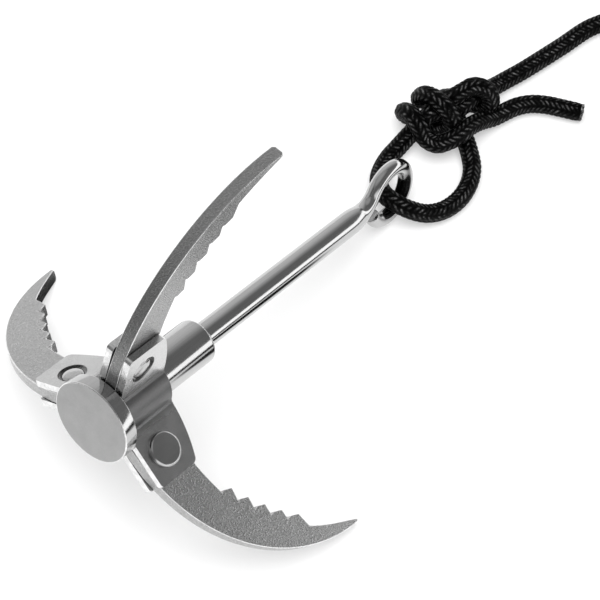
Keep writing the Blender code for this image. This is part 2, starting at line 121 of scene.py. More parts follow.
# ---- materials ----
class Maker:
    """A Principled material under construction, with short ways to add nodes."""

    def __init__(self, name, metallic=0.0):
        self.mat = bpy.data.materials.new(name)
        self.mat.use_nodes = True
        self.tree = self.mat.node_tree
        self.shader = self.tree.nodes["Principled BSDF"]
        self.set("Metallic", metallic)

    def set(self, name, value):
        self.shader.inputs[name].default_value = value

    def node(self, kind, values=None, **settings):
        return add_node(self.tree, kind, values, **settings)

    def link(self, source, target):
        self.tree.links.new(source, target)

    def colour(self, value):
        """Gives the shader a grey of this level."""
        grey = self.node("CombineColor")
        for channel in ("Red", "Green", "Blue"):
            self.link(value, grey.inputs[channel])
        self.link(grey.outputs["Color"], self.shader.inputs["Base Color"])

    def roughness(self, value):
        self.link(value, self.shader.inputs["Roughness"])

    def place(self, stretch=1.0, turn=(0.0, 0.0, 0.0)):
        """Object coordinates in turned axes, stretched along the first of them."""
        coordinates = self.node("TexCoord")
        values = {"Rotation": turn, "Scale": (stretch, 1.0, 1.0)}
        mapping = self.node("Mapping", values, vector_type="TEXTURE")
        self.link(coordinates.outputs["Object"], mapping.inputs["Vector"])
        return mapping.outputs["Vector"]

    def noise(self, scale, detail, roughness, stretch=1.0, turn=(0.0, 0.0, 0.0)):
        values = {"Scale": scale, "Detail": detail, "Roughness": roughness}
        noise = self.node("TexNoise", values)
        self.link(self.place(stretch, turn), noise.inputs["Vector"])
        return noise.outputs["Fac"]

    def span(self, value, low, high, from_low=0.0, from_high=1.0):
        """Maps a value from one span to another."""
        values = {"From Min": from_low, "From Max": from_high, "To Min": low, "To Max": high}
        span = self.node("MapRange", values)
        self.link(value, span.inputs["Value"])
        return span.outputs["Result"]

    def spread(self, noise, low, high):
        """Maps the range that a noise mostly keeps to, 0.3 to 0.7, to another span."""
        return self.span(noise, low, high, 0.3, 0.7)

    def math(self, operation, first, second):
        node = self.node("Math", operation=operation)
        for socket, value in zip(node.inputs, (first, second)):
            if isinstance(value, (int, float)):
                socket.default_value = value
            else:
                self.link(value, socket)
        return node.outputs["Value"]

    def bump(self, height, depth, strength):
        bump = self.node("Bump", {"Strength": strength, "Distance": depth})
        self.link(height, bump.inputs["Height"])
        self.link(bump.outputs["Normal"], self.shader.inputs["Normal"])


def blasted_material():
    """Cut plate with a shot-blasted skin: fine grains that glint, with a tone that varies from grain to
    grain and is slightly darker in their hollows, a painted shade.
    """
    make = Maker("blasted_plate", metallic=1.0)
    grain = make.noise(1500.0, 3.0, 0.65)
    cloud = make.noise(90.0, 2.0, 0.5)
    shade = make.math("ADD", make.span(grain, 0.32, 0.48, 0.34, 0.66), make.span(cloud, -0.02, 0.02))
    make.colour(shade)
    make.roughness(make.spread(grain, 0.34, 0.24))
    make.bump(grain, 0.00030, 0.70)
    return make.mat


def edge_material():
    """The broken edges of plate and sheet, rubbed bright."""
    make = Maker("rubbed_edge", metallic=1.0)
    wear = make.noise(500.0, 2.0, 0.6)
    make.colour(make.spread(wear, 0.66, 0.88))
    make.roughness(make.spread(wear, 0.30, 0.18))
    make.bump(wear, 0.00003, 0.3)
    return make.mat


def drawn_material(name, tone, rough):
    """Turned or drawn bar: fine lines along it, and a few faint clouds in its polish."""
    make = Maker(name, metallic=1.0)
    lines = make.noise(2600.0, 2.0, 0.6, 60.0, (0.0, REST_PITCH, 0.0))
    cloud = make.noise(70.0, 3.0, 0.55)
    shade = make.math("ADD", make.spread(lines, tone - 0.025, tone + 0.025),
                      make.spread(cloud, -0.02, 0.02))
    make.colour(shade)
    make.roughness(make.spread(cloud, rough - 0.03, rough + 0.04))
    make.bump(lines, 0.00001, 0.25)
    return make.mat


def sheet_material():
    """Rolled sheet, satin, with tiny pits; rougher round the sleeve, and darkened there by painted shade.
    """
    make = Maker("rolled_sheet", metallic=1.0)
    rough_and_painted_shade = make.node("Attribute", attribute_name="rough_and_painted_shade").outputs["Fac"]
    grain = make.noise(1500.0, 2.0, 0.55)
    cloud = make.noise(120.0, 3.0, 0.6)
    plain = make.math("ADD", make.spread(grain, 0.56, 0.62), make.spread(cloud, -0.03, 0.03))
    # painted shade: the sheet is darkened round the sleeve, in the trough between two ears
    shade = make.math("MULTIPLY", plain, make.span(rough_and_painted_shade, 1.0, 0.30))
    make.colour(shade)
    rough = make.math("ADD", make.spread(cloud, 0.20, 0.28), make.span(rough_and_painted_shade, 0.0, 0.16))
    make.roughness(rough)
    make.bump(grain, 0.00004, 0.4)
    return make.mat


def face_material():
    """The disc's flat face: ground fine and even."""
    make = Maker("ground_face", metallic=1.0)
    grain = make.noise(2300.0, 2.0, 0.6)
    cloud = make.noise(160.0, 3.0, 0.6)
    shade = make.math("ADD", make.spread(grain, 0.36, 0.42), make.spread(cloud, -0.02, 0.02))
    make.colour(shade)
    make.roughness(make.spread(grain, 0.36, 0.46))
    make.bump(grain, 0.00004, 0.5)
    return make.mat


def rope_material():
    """Black braid: near black, with a dull painted highlight along the crest of each strand."""
    make = Maker("black_braid")
    make.set("Specular IOR Level", 0.06)
    height = make.node("Attribute", attribute_name="strand").outputs["Fac"]
    fibre = make.noise(2400.0, 2.0, 0.6)
    highlight_breakup = make.noise(380.0, 2.0, 0.6)
    # painted highlight: the strands' crests are lighter in colour, in broken patches
    crest = make.math("POWER", height, 7.0)
    fuzz = make.span(fibre, 0.15, 1.0, 0.35, 0.65)
    highlight_patches = make.span(highlight_breakup, 0.04, 1.2, 0.42, 0.64)
    broken = make.math("MULTIPLY", fuzz, highlight_patches)
    painted_highlight = make.math("MULTIPLY", crest, broken)
    shade = make.math("ADD", make.math("MULTIPLY", painted_highlight, 0.16), 0.0006)
    make.colour(shade)
    make.roughness(make.spread(fibre, 0.34, 0.50))
    make.bump(fibre, 0.00008, 0.5)
    return make.mat


def melted_material():
    """The rope's end, cut with a hot knife: fused, glossy and uneven."""
    make = Maker("melted_end")
    make.set("Specular IOR Level", 0.4)
    lumps = make.noise(900.0, 3.0, 0.6)
    make.colour(make.span(lumps, 0.004, 0.28, 0.48, 0.68))
    make.roughness(make.spread(lumps, 0.22, 0.42))
    make.bump(lumps, 0.0003, 0.7)
    return make.mat


def strap_material():
    """Black webbing: a fine weave along the strap's ribs."""
    make = Maker("black_webbing")
    values = {"Scale": 330.0, "Distortion": 1.2}
    weave = make.node("TexWave", values, wave_type="BANDS", bands_direction="Y")
    make.link(make.place(), weave.inputs["Vector"])
    fibre = make.noise(1400.0, 2.0, 0.6)
    level = make.math("MULTIPLY", weave.outputs["Fac"], make.spread(fibre, 0.4, 1.0))
    make.colour(make.span(level, 0.006, 0.035))
    make.roughness(make.span(level, 0.85, 0.6))
    make.bump(level, 0.0002, 0.6)
    return make.mat


BLASTED = blasted_material()
EDGE = edge_material()
DRAWN = drawn_material("drawn_bar", 0.50, 0.11)
TURNED = drawn_material("turned_bar", 0.50, 0.13)
SHEET_STEEL = sheet_material()
FACE = face_material()
RIVET_STEEL = drawn_material("rivet_steel", 0.50, 0.17)
BRAID = rope_material()
MELTED = melted_material()
WEBBING = strap_material()

# ---- rope ----
ROPE_RADIUS = 0.0040
BRAID_COLUMNS = 8  # columns of slanting strands round the rope
BRAID_PITCH = 0.0023  # from one strand to the next, along the rope
BRAID_SLANT = 0.62  # a strand's slant across half its column, in pitches
BRAID_HEIGHT = 0.00042
BRAID_FLOOR = ROPE_RADIUS - 0.00030
CREST_POWER = 0.7  # below 1 for strands with a full, round crest
COLUMN_DIP = 0.7  # how far a strand sinks at its column's edges, as a share
FINE_SIDES = 64
FINE_STEP = BRAID_PITCH / 7
COIL_SIDES = 2 * BRAID_COLUMNS
COIL_EVERY = 10  # the coil keeps one in ten of the fine rings
CURVE_STEPS = 24  # steps between two points of a route, before it is evenly spaced
CUT_FADE = 0.0015  # length over which the braid flattens towards a cut end
CUT_SHARE = 0.25  # share of the braid's height that is left there
CAP_RINGS = ((1.035, 0.0004), (1.01, 0.0010), (0.86, 0.0013), (0.6, 0.0009), (0.3, 0.0012))
CAP_MIDDLE = 0.0010  # how far the middle of a cut end stands out
CAP_LUMP = 0.00012
CAP_WOBBLE = 0.00007
CAP_STRAND = 0.5  # the braid height that a cut end's points are given

# The rope's middle line in order, from the tail's cut end to where the coil begins.
TAIL_ROUTE = [
    (0.1778, -0.0328, 0.0042), (0.1768, -0.0309, 0.0042), (0.1738, -0.0249, 0.0042),
    (0.1706, -0.0190, 0.0042), (0.1664, -0.0138, 0.0042), (0.1608, -0.0100, 0.0043),
]
KNOT_ROUTE = [  # three turns round the line and over the loop's right leg
    (0.1490, -0.0062, 0.0052), (0.1424, -0.0045, 0.0084), (0.1350, -0.0036, 0.0116),
    (0.1285, -0.0032, 0.0120), (0.1237, -0.0010, 0.0104), (0.1196, 0.0021, 0.0094),
    (0.1178, 0.0072, 0.0108), (0.1187, 0.0124, 0.0150), (0.1202, 0.0177, 0.0160),
    (0.1217, 0.0226, 0.0115), (0.1243, 0.0224, 0.0058), (0.1271, 0.0171, 0.0040),
    (0.1292, 0.0101, 0.0040), (0.1307, 0.0051, 0.0066), (0.1312, 0.0030, 0.0125),
    (0.1314, 0.0068, 0.0180), (0.1313, 0.0128, 0.0200), (0.1315, 0.0186, 0.0178),
    (0.1318, 0.0219, 0.0120), (0.1349, 0.0224, 0.0060), (0.1403, 0.0190, 0.0039),
    (0.1454, 0.0138, 0.0039), (0.1488, 0.0068, 0.0040), (0.1511, 0.0004, 0.0056),
    (0.1518, -0.0020, 0.0110), (0.1514, 0.0009, 0.0170), (0.1477, 0.0056, 0.0196),
    (0.1430, 0.0077, 0.0186), (0.1390, 0.0097, 0.0168), (0.1375, 0.0139, 0.0128),
    (0.1383, 0.0141, 0.0062), (0.1392, 0.0076, 0.0040), (0.1362, 0.0015, 0.0040),
    (0.1326, -0.0041, 0.0040),
]
RIGHT_LEG_ROUTE = [
    (0.1279, -0.0104, 0.0042), (0.1229, -0.0156, 0.0042), (0.1159, -0.0194, 0.0042),
    (0.1072, -0.0210, 0.0042), (0.0985, -0.0196, 0.0046), (0.0915, -0.0158, 0.0062),
    (0.0864, -0.0102, 0.0094),
]
EYE_POINT = (0.0839, -0.0032, 0.0112)  # where the rope passes through the eye
LEFT_LEG_ROUTE = [
    (0.0846, 0.0032, 0.0102), (0.0889, 0.0090, 0.0072), (0.0952, 0.0128, 0.0050),
    (0.1030, 0.0149, 0.0042), (0.1095, 0.0152, 0.0043),
]
CORE_ROUTE = [  # the line inside the knot
    (0.1166, 0.0151, 0.0058), (0.1224, 0.0142, 0.0090), (0.1282, 0.0128, 0.0120),
    (0.1334, 0.0094, 0.0122), (0.1386, 0.0061, 0.0112), (0.1445, 0.0051, 0.0116),
    (0.1510, 0.0055, 0.0106), (0.1567, 0.0046, 0.0074),
]
LINE_ROUTE = [
    (0.1626, 0.0036, 0.0048), (0.1690, 0.0021, 0.0042), (0.1776, -0.0003, 0.0042),
    (0.1877, -0.0026, 0.0042), (0.2004, -0.0053, 0.0042), (0.2180, -0.0090, 0.0042),
    (0.2320, -0.0170, 0.0042), (0.2420, -0.0310, 0.0042), (0.2480, -0.0500, 0.0042),
    (0.2600, -0.0760, 0.0042),
]

COIL_CENTRE = (0.3412, -0.0200)
COIL_MEAN_RADIUS = 0.0720
COIL_COLUMNS = 5
COIL_LAYERS = 4
COIL_SPACING = 0.0082
COIL_BASE = 0.0053  # height of the lowest turns' middle line
COIL_TURN_POINTS = 24
COIL_WANDER = 0.0004  # how far a turn strays from a true circle
SHIFT_SHARE = 0.16  # share of a turn in which it moves on to the next place
TIE_ANGLE = radians(35)


def coil_places():
    """(radius, height) of each turn: out to in and back again, layer on layer."""
    places = []
    for layer in range(COIL_LAYERS):
        columns = range(COIL_COLUMNS)
        if layer % 2 == 0:
            columns = reversed(columns)
        for column in columns:
            radius = COIL_MEAN_RADIUS + (column - (COIL_COLUMNS - 1) / 2) * COIL_SPACING
            places.append((radius, COIL_BASE + layer * COIL_SPACING))
    return places


def coil_route():
    """Points of the coil, from the line's end to the rope's far end."""
    entry = Vector(LINE_ROUTE[-1][:2]) - Vector(COIL_CENTRE)
    start = atan2(entry.y, entry.x)
    places = [(entry.length, LINE_ROUTE[-1][2])] + coil_places()
    points = []
    for turn, (old, new) in enumerate(zip(places, places[1:])):
        for i in range(COIL_TURN_POINTS):
            share = i / COIL_TURN_POINTS
            if turn == 0 and i == 0:
                continue
            moved = ease(share / SHIFT_SHARE)
            radius = old[0] + (new[0] - old[0]) * moved
            height = old[1] + (new[1] - old[1]) * moved
            angle = start + 2 * pi * share
            radius += COIL_WANDER * sin(3 * angle + 1.7 * turn)
            x = COIL_CENTRE[0] + radius * cos(angle)
            y = COIL_CENTRE[1] + radius * sin(angle)
            points.append((x, y, height))
    return points


def smooth_line(points, step):
    """Evenly spaced points, `step` apart, on a centripetal Catmull-Rom curve through the points."""
    pts = np.array(points, float)
    pts = np.vstack([2 * pts[0] - pts[1], pts, 2 * pts[-1] - pts[-2]])
    p0, p1, p2, p3 = pts[:-3], pts[1:-2], pts[2:-1], pts[3:]
    root = [np.sqrt(np.linalg.norm(b - a, axis=1))[:, None] for a, b in ((p0, p1), (p1, p2), (p2, p3))]
    t1 = root[0]
    t2 = t1 + root[1]
    t3 = t2 + root[2]
    dense = []
    for share in np.linspace(0.0, 1.0, CURVE_STEPS, endpoint=False):
        t = t1 + (t2 - t1) * share
        a1 = ((t1 - t) * p0 + t * p1) / t1
        a2 = ((t2 - t) * p1 + (t - t1) * p2) / (t2 - t1)
        a3 = ((t3 - t) * p2 + (t - t2) * p3) / (t3 - t2)
        b1 = ((t2 - t) * a1 + t * a2) / t2
        b2 = ((t3 - t) * a2 + (t - t1) * a3) / (t3 - t1)
        dense.append(((t2 - t) * b1 + (t - t1) * b2) / (t2 - t1))
    line = np.stack(dense, axis=1).reshape(-1, 3)
    line = np.vstack([line, pts[-2]])
    along = np.concatenate([[0.0], np.cumsum(np.linalg.norm(np.diff(line, axis=0), axis=1))])
    even = np.linspace(0.0, along[-1], round(along[-1] / step) + 1)
    return np.stack([np.interp(even, along, line[:, k]) for k in range(3)], axis=1), even


def carried_frames(line):
    """Two directions across the line at each point, turned as little as possible on the way."""
    tangents = np.gradient(line, axis=0)
    tangents /= np.linalg.norm(tangents, axis=1)[:, None]
    across = np.zeros_like(line)
    side = np.cross(tangents[0], (0.0, 0.0, 1.0))
    for i, tangent in enumerate(tangents):
        side = side - tangent * side.dot(tangent)
        side = side / np.linalg.norm(side)
        across[i] = side
    return across, np.cross(tangents, across)


def strand_height(along, angle):
    """Height of the braid, 0 in its grooves to 1 on its strands' crests."""
    column = angle / (2 * pi) * BRAID_COLUMNS
    place = 2 * (column - np.floor(column)) - 1
    lean = np.where(np.floor(column) % 2 == 0, 1.0, -1.0)
    phase = along / BRAID_PITCH + lean * place * BRAID_SLANT
    within = 2 * (phase - np.floor(phase)) - 1
    crest = np.clip(1 - within ** 2, 0, 1) ** CREST_POWER
    return crest * (1 - COLUMN_DIP * place ** 4)


def ring_points(line, across, other, along, sides, cut_at):
    """Rings of surface points and their braid heights, with a flatter braid near a cut end."""
    angles = 2 * pi * np.arange(sides) / sides
    height = strand_height(along[:, None], angles[None, :])
    fade = np.ones(len(along))
    if cut_at is not None:
        fade = np.clip(np.abs(along - cut_at) / CUT_FADE, CUT_SHARE, 1)
    radius = BRAID_FLOOR + BRAID_HEIGHT * height * fade[:, None]
    spokes = across[:, None] * np.cos(angles)[None, :, None]
    spokes += other[:, None] * np.sin(angles)[None, :, None]
    return line[:, None] + spokes * radius[..., None], height * fade[:, None]


def tube_faces(first, rings, sides):
    """Quads between the rings of a tube whose vertices start at `first`."""
    row = first + np.arange(rings - 1)[:, None] * sides
    near = np.arange(sides)[None, :]
    far = (near + 1) % sides
    quads = np.stack([row + near, row + far, row + sides + far, row + sides + near], axis=-1)
    return quads.reshape(-1, 4).tolist()


def stitch_faces(fine, coarse):
    """Joins a fine ring to a coarse one. Each coarse side spans a whole number of fine ones."""
    ratio = len(fine) // len(coarse)
    faces = []
    for k in range(len(coarse)):
        span = [fine[(k * ratio + i) % len(fine)] for i in range(ratio + 1)]
        faces.append(span + [coarse[(k + 1) % len(coarse)], coarse[k]])
    return faces


def cap_faces(ring, first):
    """Faces of a cut end, from its ring over the cap's rings to the cap's middle point."""
    size = len(ring)
    middle = first + size * len(CAP_RINGS)
    rows = [ring] + [list(range(start, start + size)) for start in range(first, middle, size)]
    faces = []
    for low, high in zip(rows, rows[1:]):
        for k in range(size):
            faces.append([low[k], low[(k + 1) % size], high[(k + 1) % size], high[k]])
    for k in range(size):
        faces.append([rows[-1][k], rows[-1][(k + 1) % size], middle])
    return faces


def melted_cap(centre, tangent, ring, seed):
    """Points of a hot-cut end, fused unevenly: its rings, then its middle; the tangent points out."""
    rng = np.random.default_rng(seed)
    spokes = ring - centre
    around = 2 * pi * np.arange(len(ring)) / len(ring)
    points = []
    for scale, out in CAP_RINGS:
        wobble = rng.normal(0.0, CAP_WOBBLE, len(ring))
        wobble = (wobble + np.roll(wobble, 1) + np.roll(wobble, -1)) / 3
        lift = out + CAP_LUMP * np.sin(3 * around + 9 * scale)
        points.append(centre + spokes * scale + tangent * (lift + wobble)[:, None])
    points.append((centre + tangent * CAP_MIDDLE)[None, :])
    return np.concatenate(points)


def rope_mesh(name, parts, cut_start, cut_end):
    """A rope from (line, across, other, along, sides) parts that follow each other."""
    points = []
    heights = []
    faces = []
    count = 0
    last_ring = []
    for number, (line, across, other, along, sides) in enumerate(parts):
        cut_at = None
        if cut_start and number == 0:
            cut_at = along[0]
        if cut_end and number == len(parts) - 1:
            cut_at = along[-1]
        rings, height = ring_points(line, across, other, along, sides, cut_at)
        if last_ring:
            faces += stitch_faces(last_ring, range(count, count + sides))
        points.append(rings.reshape(-1, 3))
        heights.append(height.reshape(-1))
        faces += tube_faces(count, len(line), sides)
        count += len(line) * sides
        last_ring = list(range(count - sides, count))
    first_ring = list(range(parts[0][4]))
    melted = 0
    for ring, is_cut, line, end, inside, seed in (
        (first_ring, cut_start, parts[0][0], 0, 1, 3), (last_ring, cut_end, parts[-1][0], -1, -2, 5),
    ):
        closing = [ring]
        if is_cut:
            out = line[end] - line[inside]
            surface = np.concatenate(points)[ring]
            cap = melted_cap(line[end], out / np.linalg.norm(out), surface, seed)
            closing = cap_faces(ring, count)
            points.append(cap)
            heights.append(np.full(len(cap), CAP_STRAND))
            count += len(cap)
            melted += len(closing)
        faces += [face[::-1] for face in closing] if end == 0 else closing
    mesh = bpy.data.meshes.new(name)
    mesh.from_pydata(np.concatenate(points).tolist(), [], faces)
    mesh.materials.append(BRAID)
    mesh.materials.append(MELTED)
    slots = np.zeros(len(faces), np.int32)
    slots[len(faces) - melted:] = 1
    mesh.polygons.foreach_set("material_index", slots)
    attribute = mesh.attributes.new("strand", "FLOAT", "POINT")
    attribute.data.foreach_set("value", np.concatenate(heights).astype(np.float32))
    mesh.shade_smooth()
    mesh.update()
    return add_object(name, mesh)


def make_ropes():
    """The rope, as two cords that meet in the eye: the tail's side and the line's side."""
    route = TAIL_ROUTE + KNOT_ROUTE + RIGHT_LEG_ROUTE + [EYE_POINT] + LEFT_LEG_ROUTE
    route += CORE_ROUTE + LINE_ROUTE + coil_route()
    line, along = smooth_line(route, FINE_STEP)
    across, other = carried_frames(line)

    def nearest(point):
        return int(np.linalg.norm(line - np.array(point), axis=1).argmin())

    eye = nearest(EYE_POINT)
    coil_start = nearest(LINE_ROUTE[-1])

    def part(first, last, every, sides):
        pick = slice(first, last, every)
        return line[pick], across[pick], other[pick], along[pick], sides

    tail = rope_mesh("rope_tail_side", [part(0, eye + 1, 1, FINE_SIDES)], True, False)
    line_parts = [
        part(eye, coil_start + 1, 1, FINE_SIDES),
        part(coil_start + COIL_EVERY, len(line), COIL_EVERY, COIL_SIDES),
    ]
    rest = rope_mesh("rope_line_side", line_parts, False, True)
    for rope, nodes in (
        (tail, ("rope_loop", "rope_tail", "rope_knot")), (rest, ("rope_line", "rope_coil")),
    ):
        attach(rope, "shank")
        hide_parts(*nodes)
    make_tie()


TIE_WIDTH = 0.0160
TIE_THICKNESS = 0.0010
TIE_OVERLAP = 5  # points of the second layer, where the strap closes on itself
TIE_LAYER_GAP = 0.0001
TIE_CORNER_STEPS = 8
TIE_BEVEL = 0.0003


def make_tie():
    """The strap round the coil's turns, its end pressed on its own back."""
    wide = (COIL_COLUMNS - 1) * COIL_SPACING / 2
    tall = (COIL_LAYERS - 1) * COIL_SPACING / 2
    corner = ROPE_RADIUS + GAP
    outline = []
    for quarter, (sx, sz) in enumerate(((1, 1), (-1, 1), (-1, -1), (1, -1))):
        for i in range(TIE_CORNER_STEPS + 1):
            angle = (quarter + i / TIE_CORNER_STEPS) * pi / 2
            outline.append((
                COIL_MEAN_RADIUS + sx * wide + corner * cos(angle),
                COIL_BASE + tall + sz * tall + corner * sin(angle),
                cos(angle), sin(angle),
            ))
    bm = bmesh.new()

    def add_band(stations, lift, closed):
        rows = []
        for x, z, nx, nz in stations:
            row = []
            for y, out in ((-0.5, 0.0), (0.5, 0.0), (0.5, 1.0), (-0.5, 1.0)):
                grow = lift + out * TIE_THICKNESS
                row.append(bm.verts.new((x + nx * grow, y * TIE_WIDTH, z + nz * grow)))
            rows.append(row)
        skin(bm, rows, closed)

    add_band(outline, 0.0, True)
    flap = outline[TIE_CORNER_STEPS // 2:TIE_CORNER_STEPS + 1 + TIE_OVERLAP]
    add_band(flap, TIE_THICKNESS + TIE_LAYER_GAP, False)
    strap = add_object("coil_strap", mesh_from("coil_strap", bm, [WEBBING]))
    strap.location = (*COIL_CENTRE, 0.0)
    strap.rotation_euler = (0.0, 0.0, TIE_ANGLE)
    bevel = strap.modifiers.new("edge", "BEVEL")
    bevel.width = TIE_BEVEL
    bevel.segments = 2
    bevel.limit_method = "ANGLE"
    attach(strap, "shank")
    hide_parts("coil_tie")
    return strap


make_ropes()

# ---- metal: shape helpers ----
CLAW_ANGLES = {"upper": 0.0, "right": radians(120), "left": radians(240)}
HALF_SECTOR = radians(60)  # half the angle between two neighbouring claws
SMOOTH_ANGLE = radians(32)  # edges sharper than this stay sharp in the shading
MERGE_DISTANCE = 0.000001


def finish_piece(name, bm, mats, angle, origin, body, node, smooth=SMOOTH_ANGLE):
    """Moves a shape from the shank's frame to its place, ties it to its body and hides the CAD part it
    replaces.
    """
    place = SHANK_FRAME @ Matrix.Rotation(angle, 4, "X") @ Matrix.Translation(origin)
    bmesh.ops.transform(bm, matrix=place, verts=bm.verts)
    mesh = mesh_from(name, bm, mats)
    mesh.set_sharp_from_angle(angle=smooth)
    piece = add_object(name, mesh)
    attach(piece, body)
    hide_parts(node)
    return piece


def add_bevel(piece, width, angle):
    """Breaks the edges sharper than the angle; the new faces take the second material."""
    bevel = piece.modifiers.new("broken_edges", "BEVEL")
    bevel.width = width
    bevel.segments = 3
    bevel.limit_method = "ANGLE"
    bevel.angle_limit = angle
    bevel.material = 1
    bevel.harden_normals = True


def arc(centre, radius, start, end, steps):
    """Points of a circular arc, both its ends among them."""
    turn = (end - start) / steps
    return [
        (centre[0] + radius * cos(start + turn * i), centre[1] + radius * sin(start + turn * i))
        for i in range(steps + 1)
    ]


def bezier(p0, p1, p2, p3, steps):
    """Points of a cubic curve from p0 to p3, both among them."""
    points = []
    for i in range(steps + 1):
        t = i / steps
        a, b, c, d = (1 - t) ** 3, 3 * t * (1 - t) ** 2, 3 * t * t * (1 - t), t ** 3
        points.append(tuple(a * p0[k] + b * p1[k] + c * p2[k] + d * p3[k] for k in (0, 1)))
    return points


def turned(profile, axis, segments, closed):
    """Spins a profile of (along, radius) points about an axis through the origin."""
    axis = Vector(axis)
    side = Vector((0.0, 0.0, 1.0))
    bm = bmesh.new()
    verts = [bm.verts.new(axis * along + side * radius) for along, radius in profile]
    edges = [bm.edges.new(pair) for pair in zip(verts, verts[1:])]
    if closed:
        edges.append(bm.edges.new((verts[-1], verts[0])))
    bmesh.ops.spin(
        bm, geom=verts + edges, cent=(0, 0, 0), axis=axis, angle=2 * pi,
        steps=segments, use_merge=True,
    )
    bmesh.ops.remove_doubles(bm, verts=bm.verts, dist=MERGE_DISTANCE)
    return bm


# ---- shank: rod with its forged eye, end disc ----
ROD_RADIUS = 0.00525
EYE_WIRE_RADIUS = 0.0033
EYE_RADIUS = 0.0125
EYE_CENTRE_X = 0.1858
EYE_TWIST = radians(-12.9)
NECK_TURN = radians(60)
NECK_START_X = 0.158
EYE_SWEEP = radians(303)
EYE_END_RINGS = ((0.00025, 0.965), (0.00045, 0.90))  # past the wire's end, and share of its radius
ROD_SIDES = 64
ROD_STEPS = 60
ROD_MARGIN = 0.0004
NECK_STEPS = 28
EYE_STEPS = 120
DISC_RADIUS = 0.0175
DISC_THICKNESS = 0.0061
DISC_CHAMFER = 0.00045
DISC_SOCKET_DEPTH = 0.001  # how far the hole for the rod goes into the disc's back
FACE_BORDER = 0.0002  # flat strip that keeps the shading even next to a rounded edge
FLAT_LIMIT = 0.00001  # faces nearer to the disc's front than this belong to its flat face


def eye_path():
    """Centre line of the rod and eye in the eye's plane, with the radius at each point."""
    meet = pi / 2 + NECK_TURN
    meet_x = EYE_CENTRE_X + EYE_RADIUS * cos(meet)
    meet_z = EYE_RADIUS * sin(meet)
    bend = meet_z / (1 - cos(NECK_TURN))
    bend_x = meet_x - bend * sin(NECK_TURN)
    start = DISC_THICKNESS + GAP
    length = bend_x - ROD_MARGIN - DISC_THICKNESS
    straight = [(start + length * i / ROD_STEPS, 0.0) for i in range(ROD_STEPS)]
    neck = arc((bend_x, bend), bend, -pi / 2, -pi / 2 + NECK_TURN, NECK_STEPS)
    loop = arc((EYE_CENTRE_X, 0.0), EYE_RADIUS, meet, meet - EYE_SWEEP, EYE_STEPS)[1:]
    sizes = []
    for x, _ in straight + neck:
        share = ease((x - NECK_START_X) / (meet_x - NECK_START_X))
        sizes.append(ROD_RADIUS + (EYE_WIRE_RADIUS - ROD_RADIUS) * share)
    sizes += [EYE_WIRE_RADIUS] * len(loop)
    return [Vector((x, 0.0, z)) for x, z in straight + neck + loop], sizes


def make_rod():
    path, radii = eye_path()
    tangents = []
    for i in range(len(path)):
        ahead = path[min(i + 1, len(path) - 1)]
        behind = path[max(i - 1, 0)]
        tangents.append((ahead - behind).normalized())
    end = path[-1]
    out = tangents[-1]
    for distance, share in EYE_END_RINGS:
        path.append(end + out * distance)
        radii.append(EYE_WIRE_RADIUS * share)
        tangents.append(out)
    bm = bmesh.new()
    rings = []
    across = Vector((0.0, 1.0, 0.0))
    for point, tangent, radius in zip(path, tangents, radii):
        across = (across - tangent * across.dot(tangent)).normalized()
        other = tangent.cross(across)
        rings.append([
            bm.verts.new(point + (across * cos(a) + other * sin(a)) * radius)
            for a in (2 * pi * k / ROD_SIDES for k in range(ROD_SIDES))
        ])
    skin(bm, rings)
    finish_piece(
        "rod_and_eye", bm, [DRAWN], EYE_TWIST, (0, 0, 0), "shank", "shank_rod"
    )


def make_disc():
    inner = DISC_RADIUS - DISC_CHAMFER
    socket_floor = DISC_THICKNESS - DISC_SOCKET_DEPTH
    profile = [(0.0, 0.0), (0.0, DISC_RADIUS / 2), (0.0, inner - FACE_BORDER)]
    profile += arc((DISC_CHAMFER, inner), DISC_CHAMFER, pi, pi / 2, 5)
    profile += arc((DISC_THICKNESS - DISC_CHAMFER, inner), DISC_CHAMFER, pi / 2, 0.0, 5)
    profile += [(DISC_THICKNESS, ROD_RADIUS), (socket_floor, ROD_RADIUS), (socket_floor, 0.0)]
    bm = turned(profile, (1, 0, 0), 160, False)
    for face in bm.faces:
        centre = face.calc_center_median()
        if centre.x < FLAT_LIMIT:
            face.material_index = 1
        elif centre.x < DISC_CHAMFER:
            face.material_index = 2
    finish_piece(
        "disc", bm, [TURNED, FACE, EDGE], 0.0, (0, 0, 0), "shank", "end_disc"
    )


make_rod()
make_disc()

# ---- hub: sleeve, brackets and rivets ----
SLEEVE_RADIUS = 0.00935
SLEEVE_END_X = 0.0613
SLEEVE_ROUNDING = 0.0017
SLEEVE_CORNER = 0.0004
CLAW_THICKNESS = 0.0053
PIVOT_X = 0.0166
PIVOT_R = 0.0239
PIVOT = (PIVOT_X, 0.0, PIVOT_R)
SHEET = 0.0028
BRACKET_START_X = 0.0068
BRACKET_END_X = 0.0314
EAR_RADIUS = 0.0351
EAR_TAPER = 8.8
EAR_TAPER_START = 0.0100  # distance from the centre line where the ears begin to narrow
EAR_CORNER = 0.0016
BEND_RADIUS = 0.0035
CORNER_STEPS = 6
EAR_STEPS = 8
BEND_STEPS = 12
SHEET_BEVEL = 0.0003
SHEET_BEVEL_ANGLE = radians(50)
PAINTED_SHADE_RADIUS = 0.0126  # the sheet has its full painted shade and extra roughness within this distance of the centre line
PAINTED_SHADE_FADE = 0.0026
RIVET_RADIUS = 0.0040
RIVET_HOLE_RADIUS = RIVET_RADIUS + GAP
RIVET_HEAD_RADIUS = 0.0069
RIVET_HEAD_HEIGHT = 0.0020
HEAD_RING_RADIUS = 0.0030  # a ring of the head's flat top
RIVET_SMOOTH_ANGLE = radians(40)
RIM_ROUNDING = 0.0013
TAIL_RADIUS = 0.0046
TAIL_RISE = 0.0004  # how far the tail's dome stands out of its ear
TAIL_RECESS_RADIUS = 0.0058
